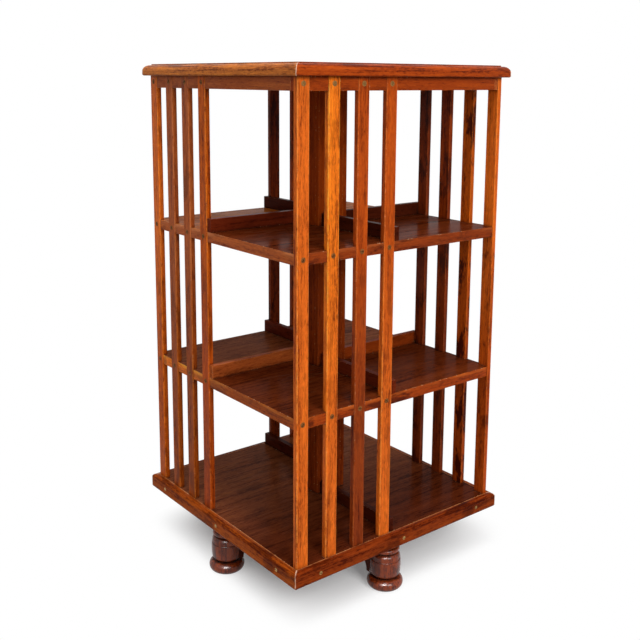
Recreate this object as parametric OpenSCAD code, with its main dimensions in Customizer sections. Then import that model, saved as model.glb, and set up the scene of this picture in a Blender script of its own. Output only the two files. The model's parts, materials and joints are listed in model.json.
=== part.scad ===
/* [Case] */
// Width of the square case across the slat faces
case_w = 500; // [440:5:600]
// Clear height of the bottom tier
tier_1_h = 258; // [220:1:320]
// Clear height of the middle tier
tier_2_h = 271; // [220:1:320]
// Clear height of the top tier, below the frieze
tier_3_h = 271; // [220:1:320]
// Thickness of the two middle shelves
shelf_t = 20; // [16:1:25]
// How far a shelf edge lies behind the slat faces
shelf_setback = 1.5; // [0.5:0.5:4]

/* [Slats] */
// Width of one slat
slat_w = 25.5; // [20:0.5:32]
// Thickness of one slat
slat_t = 10.5; // [8:0.5:16]
// Distance from one slat to the next on the front, centre to centre
front_pitch = 62; // [52:0.5:66]
// The same distance on the right side, which is spaced a little wider
right_pitch = 65.5; // [52:0.5:66]
// The same distance on the back
back_pitch = 63; // [52:0.5:66]
// The same distance on the left side
left_pitch = 61; // [52:0.5:66]
// Slats on each face
slats_per_face = 4; // [4:1:4]
// Bevel on the two outer edges of a slat
slat_bevel = 1.2; // [0.4:0.2:2]

/* [Frieze] */
// Height of the frieze under the top
frieze_h = 24; // [20:1:45]
// Thickness of a frieze board
frieze_t = 20; // [17:1:26]
// How far the frieze lies behind the slat faces
frieze_setback = 0.8; // [0.4:0.2:2]

/* [Top] */
// Thickness of the top
top_t = 23; // [20:1:30]
// Overhang of the top past the slat faces
top_overhang = 12; // [8:1:30]
// Width of the mitred moulding round the top
top_mould_w = 40; // [34:1:60]
// Radius of the large round on the top's edge
top_round_r = 12; // [8:0.5:12.5]
// Height of the small step at the top surface
top_step = 2; // [1:0.5:3]
// Width of the step beside the large round
top_quirk = 2; // [1:0.5:4]
// Radius under the top's edge
top_under_r = 3; // [1:0.5:4]

/* [Bottom board] */
// Thickness of the bottom board and its moulding
bottom_t = 30; // [22:1:36]
// Width of the moulding nailed round the bottom board
bottom_mould_w = 13; // [10:1:20]
// Radius on the moulding's upper edge
bottom_upper_r = 7; // [3:0.5:8]
// Radius on the moulding's lower edge
bottom_lower_r = 5; // [2:0.5:8]

/* [Book stops] */
// Height of a book stop
stop_h = 26; // [15:1:40]
// Thickness of a book stop
stop_t = 12; // [8:1:18]

/* [Column] */
// Outside width of the square hollow column
column_w = 72; // [66:1:80]
// Thickness of a column board
column_t = 10; // [8:1:11]
// Height of the bearing block in the top of the column
block_h = 34; // [28:1:50]

/* [Base] */
// Height from the floor to the top of the cross rails
rail_top_z = 89; // [86:1:105]
// Gap between the cross rails and the bottom board
base_gap = 4; // [3.5:0.5:8]
// Distance from a face of the case in to the axis of a foot
foot_inset = 22; // [15:1:50]
// Width of a cross rail
rail_w = 56; // [44:1:58]
// Depth of a cross rail at its end
rail_end_h = 61; // [48:1:62]
// Depth of a cross rail at the middle
rail_mid_h = 34; // [26:2:40]
// Length of a rail's deep end, from the foot's axis inwards
rail_heel = 23; // [20:1:40]
// Angle by which the case is turned on its base at rest
rest_turn = 4; // [0:1:45]

/* [Feet] */
// Radius of the foot's wide bottom ring
foot_ring_r = 35.5; // [32:0.5:40]
// Height of the foot's bottom ring
foot_ring_h = 22; // [18:0.5:24]
// Depth of the hollow between the ring and the waist
foot_hollow = 5; // [2:0.5:6]
// Height of the waist between the ring and the barrel
foot_waist_h = 3; // [2.5:0.5:6]
// Radius of the waist
foot_waist_r = 16; // [14:0.5:19]
// Radius of the thin bead at the bottom of the barrel
foot_bead_r = 23; // [22.5:0.5:24]
// Height of the thin bead
foot_bead_h = 3.5; // [2:0.5:4]
// Largest radius of the foot's barrel
foot_barrel_r = 30.5; // [30:0.5:33]
// Radius of the barrel's curve from bottom to top
foot_belly_r = 110; // [90:1:140]
// Height of the barrel's shoulder above the waist
foot_barrel_h = 40; // [36:0.5:41]
// Height of the barrel's widest place above the waist
foot_belly_h = 22; // [18:0.5:30]
// Radius of the round at the bottom of the barrel
foot_cup_r = 8; // [6:0.5:9]
// Radius of the round shoulder above the barrel
foot_dome_r = 8.5; // [6:0.5:10]
// Distance of the turned groove below the shoulder
foot_groove_drop = 5.5; // [2:0.5:7]
// Radius of the turned groove
foot_groove_r = 1.5; // [0.5:0.25:2]
// Radius of the neck above the shoulder
foot_neck_r = 17; // [14:0.5:18]
// Radius of the foot's top collar
foot_collar_r = 28; // [24:0.5:30]
// Height of the collar
foot_collar_h = 10; // [6:0.5:12]
// Length of the neck below the collar
foot_neck_h = 1.5; // [1:0.5:2]
// Length of the tenon on a rail's end
tenon_len = 15; // [10:1:18]
// Radius of the tenon on a rail's end
tenon_r = 9; // [6:0.5:11]

/* [Pivot] */
// Radius of the fixed centre post
post_r = 18; // [14:0.5:19]
// Radius of the post's tenon in the cross rails
post_tenon_r = 12; // [8:0.5:13]
// Radius of the iron pivot pin
pin_r = 6; // [4:0.5:8]
// Length of the pivot pin above the post
pin_out = 22; // [18:1:40]
// Length of the pivot pin inside the post
pin_in = 40; // [25:1:60]
// Wall of the iron socket round the pin
socket_wall = 4; // [2.5:0.5:6]
// Depth of the pin's bearing in the socket
socket_depth = 12; // [8:1:16]
// Radius of the socket's flange
socket_flange_r = 20; // [16:1:23]
// Thickness of the socket's and the bush's flange
flange_t = 2.5; // [2:0.5:3]
// Wall of the brass bush in the bottom board
bush_wall = 4; // [2.5:0.5:6]
// Radius of the bush's flange
bush_flange_r = 32; // [28:1:40]

/* [Fasteners] */
// Radius of a slat screw's head
screw_head_r = 4.8; // [3.5:0.1:5.2]
// Radius of a slat screw's shank
screw_shank_r = 1.8; // [1.2:0.2:2.4]
// Length of a slat screw in a shelf
screw_len = 26; // [20:1:32]
// Distance from the point of a frieze screw to the back of the frieze
frieze_screw_end = 2; // [1:0.5:4]
// Depth of the head's seat in the slat
screw_seat = 1.6; // [1:0.2:2.4]
// Height by which the head's crown stands out
screw_crown = 0.9; // [0.6:0.1:1.4]
// Height of the head's straight edge below the crown
screw_rim = 0.2; // [0.1:0.1:0.4]
// Radius of a moulding pin
brad_r = 3.6; // [2:0.2:4.4]
// Length of a moulding pin
brad_len = 24; // [18:1:32]
// Pins on each side of the bottom moulding
brads_per_side = 3; // [2:1:5]
// Distance of the end pins from the case's corner
brad_margin = 45; // [30:1:70]

/* [Fits] */
// Clearance on each side of a housed joint
fit_gap = 0.1; // [0.05:0.05:0.2]
// Radial clearance of the pivot and the bush
running_gap = 0.08; // [0.04:0.01:0.1]
// Clearance above the pin's tip
tip_gap = 0.3; // [0.2:0.1:0.8]

/* [Hidden] */
$fn = 64;
half = case_w / 2;
foot_reach = half - foot_inset;

// Levels, from the floor up
board_z = rail_top_z + base_gap;
board_top = board_z + bottom_t;
lower_shelf_z = board_top + tier_1_h;
lower_shelf_top = lower_shelf_z + shelf_t;
upper_shelf_z = lower_shelf_top + tier_2_h;
upper_shelf_top = upper_shelf_z + shelf_t;
frieze_z = upper_shelf_top + tier_3_h;
top_z = frieze_z + frieze_h;
slat_h = top_z - board_z;

// Column, post and pivot
column_in = column_w - 2 * column_t;
block_z = top_z - block_h;
socket_z = block_z - flange_t;
tip_z = socket_z + socket_depth - tip_gap;
post_top = tip_z - pin_out;
pin_bore_r = pin_r + running_gap;
bush_bore_r = post_r + running_gap;
bush_r = post_r + bush_wall;
lap_z = rail_top_z - rail_mid_h / 2;
rail_mid_z = rail_top_z - rail_mid_h;
rail_end_z = rail_top_z - rail_end_h;

// Levels of a foot
waist_z = foot_ring_h + foot_waist_h;
cup_z = waist_z + foot_cup_r;
shoulder_z = waist_z + foot_barrel_h;
belly_z = waist_z + foot_belly_h;
collar_z = shoulder_z + foot_dome_r + foot_neck_h;
foot_top_z = collar_z + foot_collar_h;
tenon_z = (waist_z + shoulder_z) / 2;

// Screws cross each slat at the middle of the frieze and of both shelves
screw_levels = [lower_shelf_z + shelf_t / 2, upper_shelf_z + shelf_t / 2, frieze_z + frieze_h / 2];
brad_step = (case_w - 2 * brad_margin) / (brads_per_side - 1);
reach = 2 * case_w;

// How far a cut runs past the face it starts from, and the turn from one screw's slot to the next
cut = 1;
slot_turn = 35;

SIDES = ["front", "right", "back", "left"];
PITCHES = [front_pitch, right_pitch, back_pitch, left_pitch];

function slat_x(k, i) = -half + i * PITCHES[k];
function slat_centre(k, i) = slat_x(k, i) + slat_w / 2;
// Where face k's slats end and its opening begins
function opening_x(k) = slat_x(k, slats_per_face - 1) + slat_w;
// Radius of a foot's barrel at a height
function barrel_r(z) = foot_barrel_r - foot_belly_r + sqrt(foot_belly_r ^ 2 - (z - belly_z) ^ 2);
function screw_length(z) = z > frieze_z ? frieze_t - frieze_screw_end : screw_len;

// Turns what is drawn for the front face to face k, counted anticlockwise from above
module on_side(k) {
    rotate([0, 0, 90 * k]) children();
}

// Turns the base against the case
module on_base() {
    rotate([0, 0, -rest_turn]) children();
}

// A hole or shank that runs inwards from the front slat face
module inward(x, z, from = 0) {
    translate([x, -half + from, z]) rotate([-90, 0, 0]) children();
}

// Notches for face k's slats, cut into a board from z0 up; the first one is open to the corner
module slat_notches(k, z0, h) {
    for (i = [0:slats_per_face - 1]) {
        left_gap = i == 0 ? cut : fit_gap;
        translate([slat_x(k, i) - left_gap, -half - cut, z0 - cut])
            cube([left_gap + slat_w + fit_gap, slat_t + cut, h + 2 * cut]);
    }
}

module screw_holes(k, z) {
    for (i = [0:slats_per_face - 1])
        inward(slat_centre(k, i), z)
            cylinder(h = screw_length(z) + fit_gap, r = screw_shank_r + fit_gap / 2);
}

// Place of pin n in the front bottom moulding
module brad_place(n) {
    inward(-half + brad_margin + n * brad_step, board_z + bottom_t / 2, -bottom_mould_w) children();
}

module slat(k, i) {
    difference() {
        translate([slat_x(k, i), -half, board_z])
            linear_extrude(slat_h)
                polygon([
                    [slat_bevel, 0], [slat_w - slat_bevel, 0], [slat_w, slat_bevel],
                    [slat_w, slat_t], [0, slat_t], [0, slat_bevel]
                ]);
        for (z = screw_levels)
            inward(slat_centre(k, i), z, -cut) {
                cylinder(h = slat_t + 2 * cut, r = screw_shank_r + fit_gap / 2);
                cylinder(h = cut + screw_seat, r = screw_head_r + fit_gap / 2);
            }
    }
}

module frieze(k) {
    difference() {
        translate([-half + frieze_setback, -half + frieze_setback, frieze_z])
            cube([case_w - frieze_t - frieze_setback, frieze_t - frieze_setback, frieze_h]);
        slat_notches(k, frieze_z, frieze_h);
        screw_holes(k, frieze_z + frieze_h / 2);
    }
}

// A quarter of a disc, which fills the corner of a square outline towards +X and +Y or -Y
module quarter_disc(r, up) {
    intersection() {
        circle(r = r);
        translate([0, up > 0 ? 0 : -r]) square(r);
    }
}

// Outline of the top's edge: a step, a large round and a small round below
module top_edge_outline() {
    out = half + top_overhang;
    inner = out - top_mould_w;
    round_z = top_t - top_step - top_round_r;
    translate([inner, 0]) square([top_mould_w - top_round_r - top_quirk, top_t]);
    translate([inner, 0]) square([top_mould_w - top_round_r, top_t - top_step]);
    translate([out - top_round_r, round_z]) quarter_disc(top_round_r, 1);
    translate([inner, top_under_r]) square([top_mould_w, round_z - top_under_r]);
    translate([inner, 0]) square([top_mould_w - top_under_r, round_z]);
    translate([out - top_under_r, top_under_r]) quarter_disc(top_under_r, -1);
}

// Outline of the bottom moulding, with a round above and a round below
module bottom_edge_outline() {
    out = half + bottom_mould_w;
    translate([half, 0]) square([bottom_mould_w - bottom_upper_r, bottom_t]);
    translate([out - bottom_upper_r, bottom_t - bottom_upper_r]) quarter_disc(bottom_upper_r, 1);
    translate([half, bottom_lower_r]) square([bottom_mould_w, bottom_t - bottom_upper_r - bottom_lower_r]);
    translate([half, 0]) square([bottom_mould_w - bottom_lower_r, bottom_lower_r]);
    translate([out - bottom_lower_r, bottom_lower_r]) quarter_disc(bottom_lower_r, -1);
}

// Runs an outline along the front edge and mitres both ends
module mitred(z, inner) {
    intersection() {
        translate([-reach / 2, 0, z])
            rotate([90, 0, 90])
                linear_extrude(reach)
                    mirror([1, 0]) children();
        translate([0, 0, z - cut])
            linear_extrude(top_t + bottom_t)
                polygon([[-inner, -inner], [inner, -inner], [reach, -reach], [-reach, -reach]]);
    }
}

module top_moulding() {
    mitred(top_z, half + top_overhang - top_mould_w) top_edge_outline();
}

module bottom_moulding() {
    difference() {
        mitred(board_z, half) bottom_edge_outline();
        for (n = [0:brads_per_side - 1])
            brad_place(n)
                translate([0, 0, -cut]) cylinder(h = bottom_mould_w + 2 * cut, r = brad_r + fit_gap / 2);
    }
}

module top_panel() {
    side = case_w + 2 * (top_overhang - top_mould_w);
    color("#8a3d1c")
        translate([-side / 2, -side / 2, top_z])
            cube([side, side, top_t]);
}

module shelf(z) {
    side = case_w - 2 * shelf_setback;
    hole = column_w + 2 * fit_gap;
    difference() {
        translate([-side / 2, -side / 2, z]) cube([side, side, shelf_t]);
        translate([-hole / 2, -hole / 2, z - cut]) cube([hole, hole, shelf_t + 2 * cut]);
        for (k = [0:3])
            on_side(k) {
                slat_notches(k, z, shelf_t);
                screw_holes(k, z + shelf_t / 2);
            }
    }
}

module bottom_board() {
    color("#6a2a14")
        difference() {
            translate([-half, -half, board_z]) cube([case_w, case_w, bottom_t]);
            translate([0, 0, board_z - cut]) cylinder(h = bottom_t + 2 * cut, r = bush_r + fit_gap);
            for (k = [0:3])
                on_side(k) {
                    slat_notches(k, board_z, bottom_t);
                    for (n = [0:brads_per_side - 1])
                        brad_place(n) cylinder(h = brad_len + cut, r = brad_r + fit_gap / 2);
                }
        }
}

// A stop runs from the end of face k's slats to the column
module book_stop(k, z) {
    color("#7d3518")
        translate([opening_x(k), -half + shelf_setback, z])
            cube([stop_t, half - shelf_setback - column_w / 2, stop_h]);
}

module column_board() {
    color("#74301a")
        translate([-column_w / 2, -column_w / 2, board_top])
            cube([column_w - column_t, column_t, top_z - board_top]);
}

module bearing_block() {
    seat_r = pin_r + running_gap + socket_wall + fit_gap / 2;
    side = column_in - 2 * fit_gap;
    color("#9a6a3c")
        difference() {
            translate([-side / 2, -side / 2, block_z]) cube([side, side, block_h]);
            translate([0, 0, block_z - cut]) cylinder(h = socket_depth + socket_wall + cut, r = seat_r);
        }
}

module pivot_socket() {
    color("#4a4744")
        difference() {
            union() {
                translate([0, 0, socket_z]) cylinder(h = flange_t, r = socket_flange_r);
                translate([0, 0, socket_z])
                    cylinder(h = socket_depth + socket_wall, r = pin_bore_r + socket_wall);
            }
            translate([0, 0, socket_z - cut]) cylinder(h = socket_depth + cut, r = pin_bore_r);
        }
}

module bottom_bush() {
    color("#b08a3e")
        difference() {
            union() {
                translate([0, 0, board_z]) cylinder(h = bottom_t, r = bush_r);
                translate([0, 0, board_z - flange_t]) cylinder(h = flange_t, r = bush_flange_r);
            }
            translate([0, 0, board_z - flange_t - cut])
                cylinder(h = bottom_t + flange_t + 2 * cut, r = bush_bore_r);
        }
}

// A round-headed wood screw with a slot, its crown just proud of the slat
module slat_screw(length) {
    dome_h = screw_crown - screw_rim;
    dome_r = (screw_head_r ^ 2 + dome_h ^ 2) / (2 * dome_h);
    slot_w = screw_head_r / 4;
    difference() {
        union() {
            cylinder(h = length, r = screw_shank_r);
            intersection() {
                translate([0, 0, dome_r - screw_crown]) sphere(r = dome_r);
                translate([0, 0, -screw_crown]) cylinder(h = screw_crown + screw_seat, r = screw_head_r);
            }
        }
        translate([-slot_w / 2, -screw_head_r - cut, -screw_crown - cut])
            cube([slot_w, 2 * (screw_head_r + cut), screw_crown + cut]);
    }
}

module slat_screws() {
    color("#8f7a45")
        for (k = [0:3], i = [0:slats_per_face - 1], z = screw_levels)
            on_side(k)
                inward(slat_centre(k, i), z)
                    rotate([0, 0, slot_turn * (i + k)]) slat_screw(screw_length(z));
}

module moulding_pins() {
    color("#b9a36a")
        for (k = [0:3], n = [0:brads_per_side - 1])
            on_side(k)
                brad_place(n) cylinder(h = brad_len, r = brad_r);
}

module centre_post() {
    color("#a06c3a")
        difference() {
            union() {
                translate([0, 0, rail_top_z]) cylinder(h = post_top - rail_top_z, r = post_r);
                translate([0, 0, rail_mid_z]) cylinder(h = rail_mid_h + cut, r = post_tenon_r);
            }
            translate([0, 0, post_top - pin_in]) cylinder(h = pin_in + cut, r = pin_r + fit_gap / 2);
        }
}

// The pin's tip is a low cone, so that it turns on its middle
module pivot_pin() {
    tip_h = pin_r / 3;
    tip_r = pin_r / 3;
    color("#3f3c3a")
        translate([0, 0, post_top - pin_in])
            rotate_extrude()
                polygon([
                    [0, 0], [pin_r, 0], [pin_r, pin_in + pin_out - tip_h],
                    [tip_r, pin_in + pin_out], [0, pin_in + pin_out]
                ]);
}

// Side outline of a cross rail, arched between its two deep ends
module rail_outline() {
    rise = rail_end_h - rail_mid_h;
    arch = foot_reach - rail_heel - rise;
    difference() {
        translate([-foot_reach, rail_end_z]) square([2 * foot_reach, rail_end_h]);
        translate([-arch, rail_end_z - cut]) square([2 * arch, rise + cut]);
        for (s = [-1, 1])
            translate([s * arch, rail_end_z]) circle(r = rise);
    }
}

// One cross rail along X, coped round its feet, with a tenon at each end
module cross_rail(lap_low, lap_high) {
    lap = rail_w + 2 * fit_gap;
    difference() {
        translate([0, rail_w / 2, 0])
            rotate([90, 0, 0]) linear_extrude(rail_w) rail_outline();
        for (s = [-1, 1])
            translate([s * foot_reach, 0, 0])
                cylinder(h = rail_top_z + cut, r = foot_barrel_r + fit_gap);
        translate([-lap / 2, -lap / 2, lap_low]) cube([lap, lap, lap_high - lap_low]);
        translate([0, 0, rail_mid_z - cut])
            cylinder(h = rail_mid_h + 2 * cut, r = post_tenon_r + fit_gap / 2);
    }
    for (s = [-1, 1])
        rotate([0, 0, s > 0 ? 0 : 180])
            translate([foot_reach - foot_barrel_r - tenon_r, 0, tenon_z])
                rotate([0, 90, 0]) cylinder(h = tenon_len + tenon_r, r = tenon_r);
}

// Half outline of a turned foot, from the floor up: ring, waist, bead, barrel, shoulder, neck, collar
module foot_outline() {
    ring_c = foot_ring_h / 2;
    bead_c = foot_bead_h / 2;
    groove_z = shoulder_z - foot_groove_drop;
    collar_c = foot_collar_h / 2;
    square([foot_ring_r - ring_c, foot_ring_h - foot_hollow]);
    translate([foot_ring_r - ring_c, ring_c]) circle(r = ring_c);
    square([foot_waist_r, cup_z]);
    translate([foot_bead_r - bead_c, waist_z]) circle(r = bead_c, $fn = 24);
    difference() {
        intersection() {
            translate([foot_barrel_r - foot_belly_r, belly_z])
                circle(r = foot_belly_r, $fn = 128);
            translate([0, cup_z]) square([foot_barrel_r, shoulder_z - cup_z]);
        }
        translate([barrel_r(groove_z), groove_z]) circle(r = foot_groove_r, $fn = 24);
    }
    translate([0, waist_z]) square([barrel_r(cup_z) - foot_cup_r, foot_cup_r]);
    translate([barrel_r(cup_z) - foot_cup_r, cup_z]) quarter_disc(foot_cup_r, -1);
    translate([0, cup_z]) square([barrel_r(shoulder_z) - foot_dome_r, shoulder_z + foot_dome_r - cup_z]);
    translate([barrel_r(shoulder_z) - foot_dome_r, shoulder_z]) quarter_disc(foot_dome_r, 1);
    translate([0, shoulder_z]) square([foot_neck_r, foot_top_z - shoulder_z]);
    translate([0, collar_z]) square([foot_collar_r - collar_c, foot_collar_h]);
    translate([foot_collar_r - collar_c, collar_z + collar_c]) circle(r = collar_c);
}

module foot() {
    difference() {
        translate([foot_reach, 0, 0]) rotate_extrude() foot_outline();
        translate([foot_reach - foot_ring_r - cut, 0, tenon_z])
            rotate([0, 90, 0])
                cylinder(
                    h = foot_ring_r + cut - foot_barrel_r + tenon_len + fit_gap,
                    r = tenon_r + fit_gap / 2
                );
    }
}

module lower_cross_rail() {
    color("#5a2313") on_base() cross_rail(lap_z, rail_top_z + cut);
}

module upper_cross_rail() {
    color("#5a2313") on_base() rotate([0, 0, 90]) cross_rail(rail_mid_z - cut, lap_z);
}

for (k = [0:3], i = [0:slats_per_face - 1])
    color("#b4551f") on_side(k) slat(k, i);
for (k = [0:3]) {
    color("#a04a20") on_side(k) frieze(k);
    color("#8f4520") on_side(k) top_moulding();
    color("#984518") on_side(k) bottom_moulding();
    on_side(k) book_stop(k, upper_shelf_top);
    on_side(k) book_stop(k, lower_shelf_top);
    on_side(k) column_board();
    color("#4d1f14") on_base() on_side(k - 1) foot();
}
for (k = [1, 3])
    on_side(k) book_stop(k, board_top);
top_panel();
color("#6e2c16") shelf(upper_shelf_z);  // upper_shelf
color("#6e2c16") shelf(lower_shelf_z);  // lower_shelf
bottom_board();
bearing_block();
pivot_socket();
bottom_bush();
slat_screws();
moulding_pins();
on_base() centre_post();
on_base() pivot_pin();
lower_cross_rail();
upper_cross_rail();
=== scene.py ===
import json
from math import cos, pi, radians, sin

import bmesh
import bpy
from mathutils import Matrix, Vector

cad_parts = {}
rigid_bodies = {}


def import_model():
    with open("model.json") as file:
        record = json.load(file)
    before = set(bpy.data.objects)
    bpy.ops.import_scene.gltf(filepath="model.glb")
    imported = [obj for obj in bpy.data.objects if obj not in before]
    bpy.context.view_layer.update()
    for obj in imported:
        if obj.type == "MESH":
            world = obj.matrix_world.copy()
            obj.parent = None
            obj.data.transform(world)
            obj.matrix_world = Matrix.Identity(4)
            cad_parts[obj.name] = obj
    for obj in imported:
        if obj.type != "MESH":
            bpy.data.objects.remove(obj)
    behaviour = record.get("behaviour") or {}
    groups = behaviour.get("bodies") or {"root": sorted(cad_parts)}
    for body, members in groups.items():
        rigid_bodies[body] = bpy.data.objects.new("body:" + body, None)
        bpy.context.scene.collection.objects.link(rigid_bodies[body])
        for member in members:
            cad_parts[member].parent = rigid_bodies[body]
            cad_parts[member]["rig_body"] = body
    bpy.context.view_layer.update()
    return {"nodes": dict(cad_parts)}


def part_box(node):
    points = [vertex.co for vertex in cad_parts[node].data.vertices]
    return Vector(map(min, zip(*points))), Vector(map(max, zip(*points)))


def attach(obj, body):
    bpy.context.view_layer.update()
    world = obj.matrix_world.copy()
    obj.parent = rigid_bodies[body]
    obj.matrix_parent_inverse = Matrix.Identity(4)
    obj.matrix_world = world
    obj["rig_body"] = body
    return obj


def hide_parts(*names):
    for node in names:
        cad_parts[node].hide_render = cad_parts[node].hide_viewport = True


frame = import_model()

SIDES = ("front", "right", "back", "left")
MM = 0.001

# Camera, from the fit to the photograph
CAMERA_PLACE = Vector((1.43120, -1.13741, 0.98325))
CAMERA_TURN = radians(51.613)
CAMERA_PITCH = radians(9.537)
CAMERA_ROLL = radians(0.336)
LENS = 50.743
LENS_SHIFT_Y = -0.1406
SENSOR_WIDTH = 36

# Point that the lamps face, and how much of the white room's light falls on the piece
LAMP_AIM = Vector((0, 0, 0.55))
AMBIENT = 0.46

# How far the floor reaches, and how pale it is to the viewer and to the light that it throws back up
FLOOR_REACH = 40
FLOOR_SEEN = 0.86
FLOOR_BOUNCE = 0.4
# How much the floor is lifted towards white, and where its shadow, a rounded square, fades to white
FLOOR_LIFT = 0.14
FLOOR_FADE = (0.175, 0.285)
SHADOW_SCALE = (0.913, 0.86, 1)
SHADOW_SHIFT = (0.0219, -0.0387, 0)
SHADOW_ROUNDING = 6

# How far the eased corners of a board and of a slat are cut back
ARRIS = 0.6 * MM
SLAT_ARRIS = 0.5 * MM
# Corners that are shorter than this, or turn by less, aren't eased
SHORTEST_ARRIS = 8 * MM
EDGE_ANGLE = radians(35)
# Points this close together are merged, and so are faces this close to flat
MERGE = 0.001 * MM
FLAT_ANGLE = radians(0.4)
# Edges that turn by more than this look sharp
SMOOTH_ANGLE = radians(32)
# How squarely a face looks along an axis to count as a shelf's edge
EDGE_FACING = 0.7

# How fine each pattern of the wood is along the grain and across it, in cells per metre
DRIFT = (2.2, 14, 14)
KNOT_CELLS = (4.5, 13, 13)
FIGURE = (2.4, 60, 60)
STREAKS = (8.0, 230, 230)
MOTTLE = (90, 330, 330)
PATCHES = (5, 16, 16)
STAINS = (13, 40, 40)
PORES = (50, 900, 900)
BARE_PATCHES = (14, 60, 60)
# How far the grain wanders sideways, in metres
WANDER = (0.0, 0.012, 0.012)
# How much each pattern counts in the light and dark of the grain
STREAKS_WEIGHT = 2.6
MOTTLE_WEIGHT = 1.8
FIGURE_WEIGHT = 1.6
PORES_WEIGHT = 0.55
# What stains, pores and knots make of the dark streaks
BLACKENED = (0.45, 0.40, 0.40, 1)

# How fine the breaks in the wear with its painted highlight and shade, the pale specks and the mottle of old
# metal are, in cells per metre
BREAKS = (45, 45, 45)
FLECKS = (260, 260, 260)
METAL_MOTTLE = (420, 420, 420)
# How far out the bottom board ends and its moulding begins
SEAM = 250 * MM
# How far from a mitre and past the seam its worn line begins to fade and is gone, in metres
MITRE_FADE = (0.0004, 0.0022)
SEAM_FADE = (0.0008, 0.0022)
# How far from a corner the darkening reaches on wood and on metal, in metres; it is dirt and painted shade
DIRT_AND_SHADE_REACH = 0.012
METAL_DIRT_AND_SHADE_REACH = 0.005
# Colours of the wear, and of the dirt with painted shade in the corners
SEAM_COLOUR = "#c07c4a"
MITRE_COLOUR = "#d2ae94"
DIRT_AND_SHADE_COLOUR = "#1a0a05"
SPECK_COLOUR = "#d9b48c"
METAL_DIRT_AND_SHADE_COLOUR = "#140a05"

# How uneven the polish is, and how much duller worn and dirty places are, where highlight and shade are also
# painted
POLISH_SPREAD = 0.08
WEAR_DULLNESS = 0.25
# How strong the relief of the grain is, and how deep, in metres
BUMP_STRENGTH = 0.12
BUMP_DEPTH = 0.0006
# How rough the glossy coat is, where a piece has one
COAT_ROUGHNESS = 0.09
# How uneven old metal's surface is, on its dull side and on its bright side
METAL_DULLER = 0.12
METAL_BRIGHTER = 0.08

# Middle tone of the wood's grain
TONES = {
    "gold": "#e27018",
    "straw": "#b86527",
    "honey": "#d0601a",
    "amber": "#c0540e",
    "copper": "#aa440e",
    "russet": "#a65022",
    "sienna": "#9a440e",
    "chestnut": "#94380a",
    "cherry": "#7e300c",
    "mahogany": "#64220e",
    "rosewood": "#62280f",
    "tawny": "#804426",
    "umber": "#54220e",
    "walnut": "#48190a",
}
# What the middle, the dark streaks, the light streaks and a worn arris make of the middle tone; the worn
# arris's pale shade is also a painted highlight
GRAIN_TINTS = ((1, 1, 1), (0.34, 0.24, 0.22), (1.30, 1.45, 1.35), (1.55, 2.3, 3.6))
# How a vector is turned so that the grain, which is along its X, runs along another axis
GRAIN_TURN = {"x": (0, 0, 0), "y": (0, 0, -pi / 2), "z": (0, pi / 2, 0)}
# Axis, start and end of the change from a piece's second tone to its first, on an upright
UPRIGHT_CHANGE = (2, 0.32, 0.78)
# The same on the bottom board, where the paler left is a painted reflection, along the lower shelf's front
# edge, and on shelves under the front stops
BOARD_REFLECTION_CHANGE = (0, -0.16, 0.20)
EDGE_CHANGE = (0, -0.16, 0.06)
SHELF_CHANGE = (0, -0.045, -0.025)
# How far below the upper arris of a shelf's edge the rubbing, which is also a painted highlight, begins, and
# from where up it is full
RUB_START = 9 * MM
RUB_FULL = 2 * MM

# How stained each face's slats are
SLAT_STAINS = {"front": 0.5, "right": 0.35, "back": 0.8, "left": 0.8}
# The slat with black patches, and how stained it is
PATCHY_SLAT = "back_slat_2"
PATCHY_STAINS = 1.3
# Upper and lower tone of each slat, from the corner inwards
SLAT_TONES = {
    "front": (("honey", "amber"), ("russet", "sienna"), ("russet", "sienna"), ("amber", "copper")),
    "right": (("honey", None), ("gold", "honey"), ("copper", "cherry"), ("copper", "honey")),
    "back": (("honey", "copper"), ("amber", "copper"), ("chestnut", "cherry"), ("cherry", None)),
    "left": (("amber", None), ("chestnut", None), ("chestnut", None), ("cherry", None)),
}
# Tone of each book stop
UPPER_STOPS = {"front": "mahogany", "right": "walnut", "back": "walnut", "left": "walnut"}
LOWER_STOPS = {"front": "russet", "right": "mahogany", "back": "cherry", "left": "mahogany"}

# Where the screws of the right face's top row begin, by height and by distance from the axis
TOP_ROW = (0.90, 0.92)
RIGHT_FACE = (0.23, 0.24)
# How squarely a screw's head looks outwards where its dark middle begins and is full
HEAD_MIDDLE = (0.94, 0.995)
BRIGHT_BRASS = "#c49656"
HEAD_MIDDLE_COLOUR = "#402410"


def linear(hex_colour):
    """A hex colour as the linear values that shaders take"""
    parts = [int(hex_colour[i:i + 2], 16) / 255 for i in (1, 3, 5)]
    return [c / 12.92 if c <= 0.04045 else ((c + 0.055) / 1.055) ** 2.4 for c in parts] + [1.0]


def tinted(colour, tint):
    """A linear colour with each channel multiplied and held under white"""
    return [min(c * t, 0.9) for c, t in zip(colour, tint)] + [1.0]


def grey(level):
    """A grey as the linear values that shaders take"""
    return (level, level, level, 1)


# Shader helpers


def set_inputs(tree, node, inputs):
    """Each input of a node, by socket name or number, linked to a socket or set to a value"""
    for key, value in inputs.items():
        if isinstance(value, bpy.types.NodeSocket):
            tree.links.new(value, node.inputs[key])
        else:
            node.inputs[key].default_value = value


def add_node(tree, kind, inputs, **settings):
    """A node with its properties and its inputs set"""
    node = tree.nodes.new("ShaderNode" + kind)
    for key, value in settings.items():
        setattr(node, key, value)
    set_inputs(tree, node, inputs)
    return node


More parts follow.
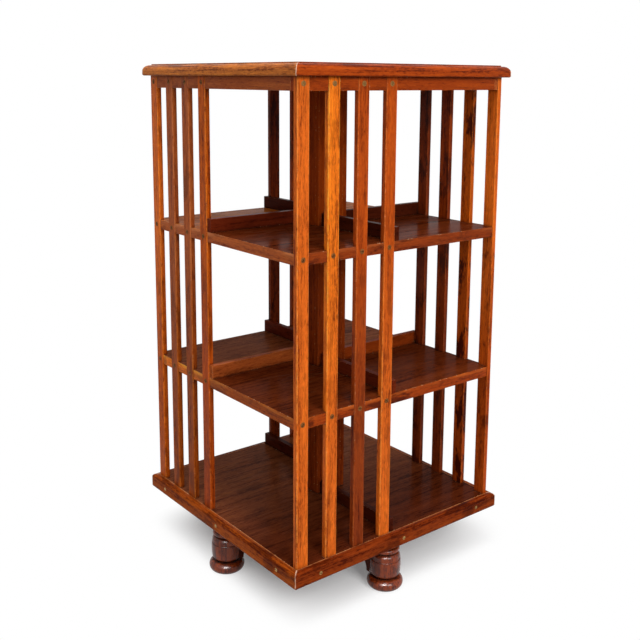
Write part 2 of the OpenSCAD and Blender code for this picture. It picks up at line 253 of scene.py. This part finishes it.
def new_group(name, inputs, outputs):
    """An empty shader group with its sockets, its input node and its output node"""
    tree = bpy.data.node_groups.new(name, "ShaderNodeTree")
    kinds = {"colour": "NodeSocketColor", "value": "NodeSocketFloat", "vector": "NodeSocketVector"}
    for label, (kind, default) in inputs.items():
        socket = tree.interface.new_socket(label, in_out="INPUT", socket_type=kinds[kind])
        if default is not None:
            socket.default_value = default
    for label, kind in outputs.items():
        tree.interface.new_socket(label, in_out="OUTPUT", socket_type=kinds[kind])
    return tree, tree.nodes.new("NodeGroupInput"), tree.nodes.new("NodeGroupOutput")


def stretched_noise(tree, vector, scale, detail=3.0, roughness=0.55, offset=(0, 0, 0)):
    """Noise on a vector that is scaled by its own amount on each axis"""
    mapped = add_node(tree, "Mapping", {"Vector": vector, "Scale": scale, "Location": offset})
    noise = add_node(tree, "TexNoise", {
        "Vector": mapped.outputs[0], "Scale": 1.0, "Detail": detail, "Roughness": roughness,
    })
    return noise.outputs["Fac"]


def ramp(tree, value, low, high, to_low=0.0, to_high=1.0):
    """A value moved smoothly from one range to another and held inside it"""
    node = add_node(tree, "MapRange", {
        "Value": value, "From Min": low, "From Max": high, "To Min": to_low, "To Max": to_high,
    }, interpolation_type="SMOOTHSTEP")
    return node.outputs["Result"]


def maths(tree, operation, a, b=0.0, c=0.0, clamp=False):
    """The result of one operation on up to three values"""
    return add_node(tree, "Math", {0: a, 1: b, 2: c}, operation=operation, use_clamp=clamp).outputs[0]


def blended(tree, factor, a, b, mode="MIX"):
    """Two colours mixed by a factor"""
    node = add_node(tree, "Mix", {0: factor, 6: a, 7: b},
                    data_type="RGBA", blend_type=mode, clamp_result=True)
    return node.outputs[2]


def split(tree, vector):
    """The X, Y and Z of a vector"""
    return add_node(tree, "SeparateXYZ", {0: vector}).outputs


def openness(tree, distance):
    """One on an open surface, and less near a corner"""
    return add_node(tree, "AmbientOcclusion", {"Distance": distance}, samples=8).outputs["AO"]


def build_timber():
    """Polished hardwood with its grain along X of the vector, from figure, streaks, mottle and marks"""
    tree, take, give = new_group(
        "timber",
        {
            "Vector": ("vector", None), "Dark": ("colour", None), "Mid": ("colour", None),
            "Light": ("colour", None), "Streaks": ("value", 1.0), "Stains": ("value", 0.3),
            "Knots": ("value", 0.6),
        },
        {"Color": "colour", "Height": "value", "Sheen": "value"},
    )
    vector = take.outputs["Vector"]
    drift = stretched_noise(tree, vector, DRIFT, detail=2.0)
    sideways = add_node(tree, "CombineXYZ", {"Y": drift, "Z": drift}).outputs[0]
    bent = add_node(tree, "VectorMath", {0: sideways, 1: WANDER, 2: vector},
                    operation="MULTIPLY_ADD").outputs[0]
    knot_place = add_node(tree, "Mapping", {"Vector": bent, "Scale": KNOT_CELLS}).outputs[0]
    knot_cells = add_node(tree, "TexVoronoi", {"Vector": knot_place, "Scale": 1.0, "Randomness": 1.0},
                          feature="F1")
    chosen = add_node(tree, "SeparateColor", {0: knot_cells.outputs["Color"]}).outputs[0]
    near_knot = ramp(tree, knot_cells.outputs["Distance"], 0.03, 0.10, 1.0, 0.0)
    knot = maths(tree, "MULTIPLY", near_knot, ramp(tree, chosen, 0.50, 0.58))
    knot = maths(tree, "MULTIPLY", knot, take.outputs["Knots"], clamp=True)
    figure = stretched_noise(tree, bent, FIGURE, detail=2.0)
    streaks = stretched_noise(tree, bent, STREAKS, detail=4.0, roughness=0.72)
    mottle = stretched_noise(tree, bent, MOTTLE, detail=3.0, roughness=0.75)
    level = 0.0
    for pattern, weight in ((streaks, STREAKS_WEIGHT), (mottle, MOTTLE_WEIGHT), (figure, FIGURE_WEIGHT)):
        level = maths(tree, "MULTIPLY_ADD", maths(tree, "SUBTRACT", pattern, 0.5), weight, level)
    level = maths(tree, "MULTIPLY_ADD", level, take.outputs["Streaks"], 0.5)
    colour = blended(tree, ramp(tree, level, 0.0, 0.5), take.outputs["Dark"], take.outputs["Mid"])
    colour = blended(tree, ramp(tree, level, 0.5, 1.0), colour, take.outputs["Light"])
    patches = stretched_noise(tree, vector, PATCHES, detail=3.0, roughness=0.6, offset=(3.1, 0, 0))
    stains = stretched_noise(tree, vector, STAINS, detail=4.0, roughness=0.7, offset=(0, 7.7, 0))
    pores = stretched_noise(tree, bent, PORES, detail=1.0)
    stain_mask = maths(tree, "MULTIPLY", ramp(tree, stains, 0.51, 0.63), take.outputs["Stains"])
    pore_mask = maths(tree, "MULTIPLY", ramp(tree, pores, 0.60, 0.70), PORES_WEIGHT)
    marks = maths(tree, "MAXIMUM", maths(tree, "MAXIMUM", stain_mask, pore_mask), knot)
    black = blended(tree, 1.0, take.outputs["Dark"], BLACKENED, "MULTIPLY")
    height = maths(tree, "SUBTRACT", maths(tree, "MULTIPLY", streaks, 0.5), pore_mask)
    set_inputs(tree, give, {
        "Color": blended(tree, marks, colour, black), "Height": height,
        "Sheen": ramp(tree, patches, 0.35, 0.65),
    })
    return tree


def build_wear_and_painted_light():
    """Age on a polished surface: worn arrises that also carry a painted highlight, worn mitres, dirt and
    painted shade in the corners, and pale specks
    """
    tree, take, give = new_group(
        "wear_and_painted_light",
        {
            "Vector": ("vector", None), "Color": ("colour", None), "Worn": ("colour", None),
            "Arris": ("value", 0.6), "Dirt": ("value", 0.6), "Specks": ("value", 0.2),
            "Mitre": ("value", 0.0), "Seam": ("value", 0.0),
        },
        {"Color": "colour", "Wear": "value"},
    )
    vector = take.outputs["Vector"]
    arris = add_node(tree, "Attribute", {}, attribute_name="arris").outputs["Fac"]
    broken = stretched_noise(tree, vector, BREAKS, detail=4.0, roughness=0.7)
    # Arrises are worn paler, which is also a painted highlight
    rubbed = maths(tree, "MULTIPLY", arris, ramp(tree, broken, 0.38, 0.56))
    rubbed = maths(tree, "MULTIPLY", rubbed, take.outputs["Arris"], clamp=True)
    colour = blended(tree, rubbed, take.outputs["Color"], take.outputs["Worn"])
    across = split(tree, vector)
    x, y = (maths(tree, "ABSOLUTE", across[i]) for i in (0, 1))
    from_mitre = maths(tree, "ABSOLUTE", maths(tree, "SUBTRACT", x, y))
    past_seam = maths(tree, "SUBTRACT", maths(tree, "MAXIMUM", x, y), SEAM)
    mitre = maths(tree, "MULTIPLY", ramp(tree, from_mitre, *MITRE_FADE, 1.0, 0.0), take.outputs["Mitre"])
    seam = maths(tree, "MULTIPLY", ramp(tree, past_seam, *SEAM_FADE, 1.0, 0.0), take.outputs["Seam"])
    patchy = ramp(tree, broken, 0.36, 0.56)
    colour = blended(tree, maths(tree, "MULTIPLY", seam, patchy), colour, linear(SEAM_COLOUR))
    colour = blended(tree, maths(tree, "MULTIPLY", mitre, patchy), colour, linear(MITRE_COLOUR))
    # Darker near corners, found by ambient occlusion: dirt and painted shade
    dirt_and_shade = ramp(tree, openness(tree, DIRT_AND_SHADE_REACH), 0.30, 0.85, 1.0, 0.0)
    dirt_and_shade = maths(tree, "MULTIPLY", dirt_and_shade, ramp(tree, broken, 0.30, 0.60, 0.35, 1.0))
    dirt_and_shade = maths(tree, "MULTIPLY", dirt_and_shade, take.outputs["Dirt"], clamp=True)
    colour = blended(tree, dirt_and_shade, colour, linear(DIRT_AND_SHADE_COLOUR))
    flecks = stretched_noise(tree, vector, FLECKS, detail=1.0, offset=(1.3, 4.1, 2.2))
    near_edge = maths(tree, "MAXIMUM", arris, maths(tree, "MULTIPLY", dirt_and_shade, 0.5))
    specks = maths(tree, "MULTIPLY", ramp(tree, flecks, 0.62, 0.70), near_edge)
    specks = maths(tree, "MULTIPLY", specks, take.outputs["Specks"], clamp=True)
    set_inputs(tree, give, {
        "Color": blended(tree, specks, colour, linear(SPECK_COLOUR)),
        "Wear": maths(tree, "MAXIMUM", rubbed, dirt_and_shade),
    })
    return tree


TIMBER = build_timber()
WEAR_AND_PAINTED_LIGHT = build_wear_and_painted_light()


def group_node(tree, group, **inputs):
    """A shader group used in a material"""
    node = tree.nodes.new("ShaderNodeGroup")
    node.node_tree = group
    set_inputs(tree, node, inputs)
    return node


def empty_material(name):
    """A new material with its node tree, its shader and the place on the piece"""
    material = bpy.data.materials.new(name)
    material.use_nodes = True
    tree = material.node_tree
    shader = tree.nodes["Principled BSDF"]
    place = tree.nodes.new("ShaderNodeTexCoord").outputs["Object"]
    return material, tree, shader, place


def shades_of(tone):
    """The middle, dark, light and worn shade of a tone; the worn shade also paints highlights"""
    return [tinted(linear(TONES[tone]), tint) for tint in GRAIN_TINTS]


def timber(tone, axis, use, second=None, change=UPRIGHT_CHANGE, streaks=0.6, stains=0.35, knots=0.6,
           arris=0.7, mitre=0.0, seam=0.0, dirt_and_shade=0.8, specks=0.4, rub=None,
           roughness=0.36, shine=0.05, coat=0.0):
    """Polished hardwood with its grain along one axis, in one tone or turning into a second"""
    tones = f"{tone} and {second}" if second else tone
    name = f"{tones} {use} along {axis}"
    if name in bpy.data.materials:
        return bpy.data.materials[name]
    material, tree, shader, place = empty_material(name)
    shades = shades_of(tone)
    if second:
        turning, start, end = change
        gone = ramp(tree, split(tree, place)[turning], start, end)
        shades = [blended(tree, gone, a, b) for a, b in zip(shades_of(second), shades)]
    mid, dark, light, worn = shades
    grain = add_node(tree, "Mapping", {"Vector": place, "Rotation": GRAIN_TURN[axis]}).outputs[0]
    wood = group_node(tree, TIMBER, Vector=grain, Dark=dark, Mid=mid, Light=light,
                      Streaks=streaks, Stains=stains, Knots=knots)
    colour = wood.outputs["Color"]
    # A rubbed band below the upper arris, paler as bare wood and as a painted highlight
    if rub:
        noise = stretched_noise(tree, grain, BARE_PATCHES, offset=(5, 0, 0))
        near_arris = ramp(tree, split(tree, place)[2], rub - RUB_START, rub - RUB_FULL)
        bare = maths(tree, "MULTIPLY", ramp(tree, noise, 0.40, 0.58, 0.0, 0.85), near_arris)
        colour = blended(tree, bare, colour, worn)
    # Arrises paler as wear and painted highlight, corners darker as dirt and painted shade
    aged_with_painted_light = group_node(tree, WEAR_AND_PAINTED_LIGHT, Vector=grain, Color=colour, Worn=worn,
                      Arris=arris, Dirt=dirt_and_shade, Specks=specks, Mitre=mitre, Seam=seam)
    polish = ramp(tree, wood.outputs["Sheen"], 0.0, 1.0, roughness + POLISH_SPREAD, roughness - POLISH_SPREAD)
    dulled = maths(tree, "MULTIPLY", aged_with_painted_light.outputs["Wear"], WEAR_DULLNESS)
    bump = add_node(tree, "Bump", {
        "Height": wood.outputs["Height"], "Strength": BUMP_STRENGTH, "Distance": BUMP_DEPTH,
    })
    set_inputs(tree, shader, {
        "Base Color": aged_with_painted_light.outputs["Color"],
        "Roughness": maths(tree, "ADD", polish, dulled, clamp=True),
        "Normal": bump.outputs[0],
        "Specular IOR Level": shine,
        "Coat Weight": coat,
        "Coat Roughness": COAT_ROUGHNESS,
    })
    return material


def metal(name, dark, light, roughness, metallic=1.0, shine=0.5):
    """Old metal with a mottled surface, and dirt and painted shade in its corners"""
    material, tree, shader, place = empty_material(name)
    mottle = stretched_noise(tree, place, METAL_MOTTLE, detail=4.0, roughness=0.65)
    # Darker near corners, found by ambient occlusion: dirt and painted shade
    dirt_and_shade = ramp(tree, openness(tree, METAL_DIRT_AND_SHADE_REACH), 0.42, 0.93, 0.9, 0.0)
    colour = blended(tree, ramp(tree, mottle, 0.35, 0.65), linear(dark), linear(light))
    dull, bright = roughness + METAL_DULLER, roughness - METAL_BRIGHTER
    set_inputs(tree, shader, {
        "Base Color": blended(tree, dirt_and_shade, colour, linear(METAL_DIRT_AND_SHADE_COLOUR)),
        "Roughness": ramp(tree, mottle, 0.3, 0.7, dull, bright),
        "Metallic": metallic,
        "Specular IOR Level": shine,
    })
    return material


def slat_screw_metal():
    """Tarnished heads with dark middles, rubbed to bright brass in the right face's top row"""
    material = metal("tarnished screws", "#8e5228", "#c08040", 0.55, metallic=0.3, shine=0.05)
    tree = material.node_tree
    base = tree.nodes["Principled BSDF"].inputs["Base Color"]
    tarnished = base.links[0].from_socket
    at = tree.nodes["Texture Coordinate"].outputs
    x, _, z = split(tree, at["Object"])
    facing = split(tree, at["Normal"])
    across = [maths(tree, "ABSOLUTE", facing[i]) for i in (0, 1)]
    middle = ramp(tree, maths(tree, "MAXIMUM", *across), *HEAD_MIDDLE, 0.0, 0.7)
    rubbed_row = maths(tree, "MULTIPLY", ramp(tree, z, *TOP_ROW), ramp(tree, x, *RIGHT_FACE))
    rubbed = maths(tree, "MULTIPLY", rubbed_row, 0.8)
    colour = blended(tree, rubbed, tarnished, linear(BRIGHT_BRASS))
    tree.links.new(blended(tree, middle, colour, linear(HEAD_MIDDLE_COLOUR)), base)
    return material


# Pieces


def add_object(name, data):
    """A new object in the scene"""
    made = bpy.data.objects.new(name, data)
    bpy.context.scene.collection.objects.link(made)
    return made


def mesh_of(bm, name):
    """The finished mesh of a bmesh"""
    mesh = bpy.data.meshes.new(name)
    bm.to_mesh(mesh)
    bm.free()
    return mesh


def smooth(mesh):
    """Shading that is smooth but for the sharp edges"""
    mesh.shade_smooth()
    mesh.set_sharp_from_angle(angle=SMOOTH_ANGLE)


def eased_copy(node, material, arris=ARRIS):
    """Stands for a CAD node: the same solid with its faces merged and its long corners eased"""
    bm = bmesh.new()
    bm.from_mesh(frame["nodes"][node].data)
    bmesh.ops.remove_doubles(bm, verts=bm.verts, dist=MERGE)
    bmesh.ops.dissolve_limit(bm, angle_limit=FLAT_ANGLE, verts=bm.verts, edges=bm.edges)
    mark = bm.faces.layers.float.new("arris")
    corners = [
        e for e in bm.edges
        if e.is_manifold and e.calc_length() > SHORTEST_ARRIS and e.calc_face_angle_signed() > EDGE_ANGLE
    ]
    made = bmesh.ops.bevel(bm, geom=corners, offset=arris, offset_type="OFFSET", segments=2, profile=0.5,
                           affect="EDGES", clamp_overlap=True, material=-1)
    for face in made["faces"]:
        face[mark] = 1.0
    mesh = mesh_of(bm, node + "_eased")
    smooth(mesh)
    mesh.materials.append(material)
    piece = add_object(node + "_eased", mesh)
    piece.modifiers.new("even shading", "WEIGHTED_NORMAL").keep_sharp = True
    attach(piece, frame["nodes"][node]["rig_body"])
    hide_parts(node)
    return piece


def refinish(node, material):
    """A CAD node keeps its shape and gets a better finish"""
    mesh = frame["nodes"][node].data
    mesh.materials.clear()
    mesh.materials.append(material)
    smooth(mesh)


def shelf_with_painted_shade(node, faces, front_tone, side_tone, left_tone=None):
    """A shelf whose faces are toned darker than its edges as painted shade, its edges rubbed bare in patches
    along the upper arris with a painted highlight
    """
    piece = eased_copy(node, faces)
    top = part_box(node)[1][2]
    use = f"{node} edge"
    front = timber(front_tone, "x", use, second=left_tone, change=EDGE_CHANGE, streaks=0.8, stains=0.5,
                   rub=top)
    side = timber(side_tone, "y", use, streaks=0.8, stains=0.8, rub=top)
    piece.data.materials.append(front)
    piece.data.materials.append(side)
    for face in piece.data.polygons:
        if abs(face.normal.y) > EDGE_FACING:
            face.material_index = 1
        elif abs(face.normal.x) > EDGE_FACING:
            face.material_index = 2


def dress_slats():
    """Slats in their own tones, stained alike on each face but for the patchy one"""
    for side, tones in SLAT_TONES.items():
        for i, (tone, lower_tone) in enumerate(tones, 1):
            node = f"{side}_slat_{i}"
            use, stains = f"{side} slat", SLAT_STAINS[side]
            if node == PATCHY_SLAT:
                use, stains = "patchy slat", PATCHY_STAINS
            wood = timber(tone, "z", use, second=lower_tone, streaks=0.75, stains=stains,
                          knots=0.9, arris=0.85, specks=0.2)
            eased_copy(node, wood, arris=SLAT_ARRIS)


def dress_faces():
    """Frieze, mouldings, stops and column board of each face"""
    for side in SIDES:
        front = side in ("front", "back")
        along, into = ("x", "y") if front else ("y", "x")
        frieze = timber("russet" if front else "chestnut", along, "frieze")
        top = timber("straw" if front else "chestnut", along, "top", streaks=1.1, stains=0.5, mitre=1.0)
        bottom = timber("sienna" if front else "cherry", along, "moulding", streaks=0.9, stains=0.6,
                        mitre=1.0, seam=0.9, specks=1.0, shine=0.02)
        column = timber("chestnut", "z", "column", second="cherry", shine=0.01)
        eased_copy(f"{side}_frieze", frieze)
        eased_copy(f"{side}_top_moulding", top)
        eased_copy(f"{side}_bottom_moulding", bottom)
        for tier, tones in (("upper", UPPER_STOPS), ("lower", LOWER_STOPS)):
            stop = timber(tones[side], into, "stop", shine=0.01)
            eased_copy(f"{side}_{tier}_stop", stop)
        eased_copy(f"{side}_column_board", column)
    for side in ("right", "left"):
        eased_copy(f"{side}_bottom_stop", timber("walnut", "x", "stop", shine=0.01))


def dress_levels():
    """Top panel, shelves and bottom board"""
    eased_copy("top_panel", timber("cherry", "y", "panel", streaks=0.55, stains=0.5))
    # The shelves' faces are darker than their edges of the same wood: painted shade
    upper, lower = (
        timber("rosewood", "y", "shelf", second=tone, change=SHELF_CHANGE, streaks=0.8, specks=1.0,
               roughness=0.22, shine=0.002)
        for tone in ("straw", "tawny")
    )
    shelf_with_painted_shade("upper_shelf", upper, "russet", "cherry")
    shelf_with_painted_shade("lower_shelf", lower, "sienna", "chestnut", left_tone="gold")
    # The bottom board is paler towards its left: a painted reflection
    board = timber("umber", "y", "board", second="tawny", change=BOARD_REFLECTION_CHANGE, streaks=0.7, specks=1.0,
                   roughness=0.20, shine=0.006)
    eased_copy("bottom_board", board)


def dress_base():
    """Turned feet and crossed rails"""
    turned = timber("cherry", "z", "foot", streaks=1.1, stains=0.7, knots=0.2, dirt_and_shade=0.7,
                    roughness=0.28, shine=0.26, coat=0.15)
    for side in SIDES:
        refinish(f"{side}_foot", turned)
    eased_copy("lower_cross_rail", timber("walnut", "x", "rail"))
    eased_copy("upper_cross_rail", timber("walnut", "y", "rail"))


def dress_hardware():
    """Screws, pins and the parts of the pivot"""
    refinish("slat_screws", slat_screw_metal())
    refinish("moulding_pins", metal("worn pins", "#5c4424", "#b08a52", 0.40))
    refinish("bottom_bush", metal("dull brass", "#6e5424", "#a3813e", 0.35))
    refinish("pivot_pin", metal("greased iron", "#26211d", "#4a443e", 0.35))
    refinish("pivot_socket", metal("black iron", "#1f1b18", "#3d3833", 0.45))
    refinish("centre_post", timber("amber", "z", "post"))
    refinish("bearing_block", timber("amber", "z", "post"))


# Room, lights and camera


def white_to_viewer(tree):
    """One where the camera or a mirror-like surface looks, and zero for light that falls on the piece"""
    path = tree.nodes.new("ShaderNodeLightPath")
    seen = maths(tree, "MAXIMUM", path.outputs["Is Camera Ray"], path.outputs["Is Glossy Ray"])
    return maths(tree, "MAXIMUM", seen, path.outputs["Is Transmission Ray"])


def make_world():
    """A room that looks white and lights the piece less than that"""
    world = bpy.data.worlds.new("white room")
    bpy.context.scene.world = world
    world.use_nodes = True
    tree = world.node_tree
    strength = maths(tree, "MULTIPLY", white_to_viewer(tree), 1.0 - AMBIENT)
    set_inputs(tree, tree.nodes["Background"], {
        "Color": grey(1), "Strength": maths(tree, "ADD", strength, AMBIENT),
    })


def make_floor():
    """A pale floor that keeps the shadow near the piece and turns white further out"""
    bm = bmesh.new()
    bmesh.ops.create_grid(bm, x_segments=1, y_segments=1, size=FLOOR_REACH)
    mesh = mesh_of(bm, "floor")
    floor = add_object("floor", mesh)
    material, tree, shader, place = empty_material("pale floor")
    seen = white_to_viewer(tree)
    set_inputs(tree, shader, {
        "Base Color": blended(tree, seen, grey(FLOOR_BOUNCE), grey(FLOOR_SEEN)),
        "Roughness": 0.9,
        "Specular IOR Level": 0.0,
    })
    lift = add_node(tree, "Emission", {
        "Color": grey(1), "Strength": maths(tree, "MULTIPLY", seen, FLOOR_LIFT),
    })
    near = add_node(tree, "AddShader", {0: shader.outputs[0], 1: lift.outputs[0]})
    shadow = add_node(tree, "Mapping", {
        "Vector": place, "Scale": SHADOW_SCALE, "Location": SHADOW_SHIFT,
    })
    reach = split(tree, shadow.outputs[0])
    sideways = [maths(tree, "ABSOLUTE", reach[i]) for i in (0, 1)]
    powers = [maths(tree, "POWER", value, SHADOW_ROUNDING) for value in sideways]
    away = maths(tree, "POWER", maths(tree, "ADD", *powers), 1 / SHADOW_ROUNDING)
    fade = maths(tree, "MULTIPLY", ramp(tree, away, *FLOOR_FADE), seen)
    glow = add_node(tree, "Emission", {"Color": grey(1), "Strength": 1.0})
    both = add_node(tree, "MixShader", {0: fade, 1: near.outputs[0], 2: glow.outputs[0]})
    tree.links.new(both.outputs[0], tree.nodes["Material Output"].inputs["Surface"])
    mesh.materials.append(material)


def area_light(name, place, size, power, shine=True, light_up=True):
    """A soft square lamp that faces the middle of the piece, seen in its gloss, lighting it up, or both"""
    light = bpy.data.lights.new(name, "AREA")
    light.shape = "SQUARE"
    light.size = size
    light.energy = power
    lamp = add_object(name, light)
    lamp.location = place
    lamp.rotation_euler = (LAMP_AIM - Vector(place)).to_track_quat("-Z", "Y").to_euler()
    lamp.visible_glossy = shine
    lamp.visible_diffuse = light_up


def make_lights():
    """Three lamps that light the piece, and a softbox that shows only in its gloss"""
    area_light("key from the right", (3.4, -0.5, 2.3), 1.6, 86)
    area_light("fill from the front", (-0.4, -3.6, 1.8), 2.4, 8, shine=False)
    area_light("overhead", (0.9, -0.75, 3.4), 1.1, 45)
    area_light("softbox for the gloss", (2.1, -2.1, 2.7), 1.6, 330, light_up=False)


def make_camera():
    """The photograph's camera, from its place, its angles and its lens shift"""
    flat = Vector((cos(CAMERA_TURN), sin(CAMERA_TURN), 0))
    back = Vector((
        sin(CAMERA_TURN) * cos(CAMERA_PITCH), -cos(CAMERA_TURN) * cos(CAMERA_PITCH), sin(CAMERA_PITCH),
    ))
    up = back.cross(flat)
    right = flat * cos(CAMERA_ROLL) + up * sin(CAMERA_ROLL)
    above = up * cos(CAMERA_ROLL) - flat * sin(CAMERA_ROLL)
    data = bpy.data.cameras.new("camera")
    data.lens = LENS
    data.sensor_width = SENSOR_WIDTH
    data.shift_y = LENS_SHIFT_Y
    camera = add_object("camera", data)
    turn = Matrix((right, above, back)).transposed().to_4x4()
    camera.matrix_world = Matrix.Translation(CAMERA_PLACE) @ turn
    bpy.context.scene.camera = camera


dress_slats()
dress_faces()
dress_levels()
dress_base()
dress_hardware()
make_floor()
make_world()
make_lights()
make_camera()
bpy.context.scene.view_settings.view_transform = "Standard"
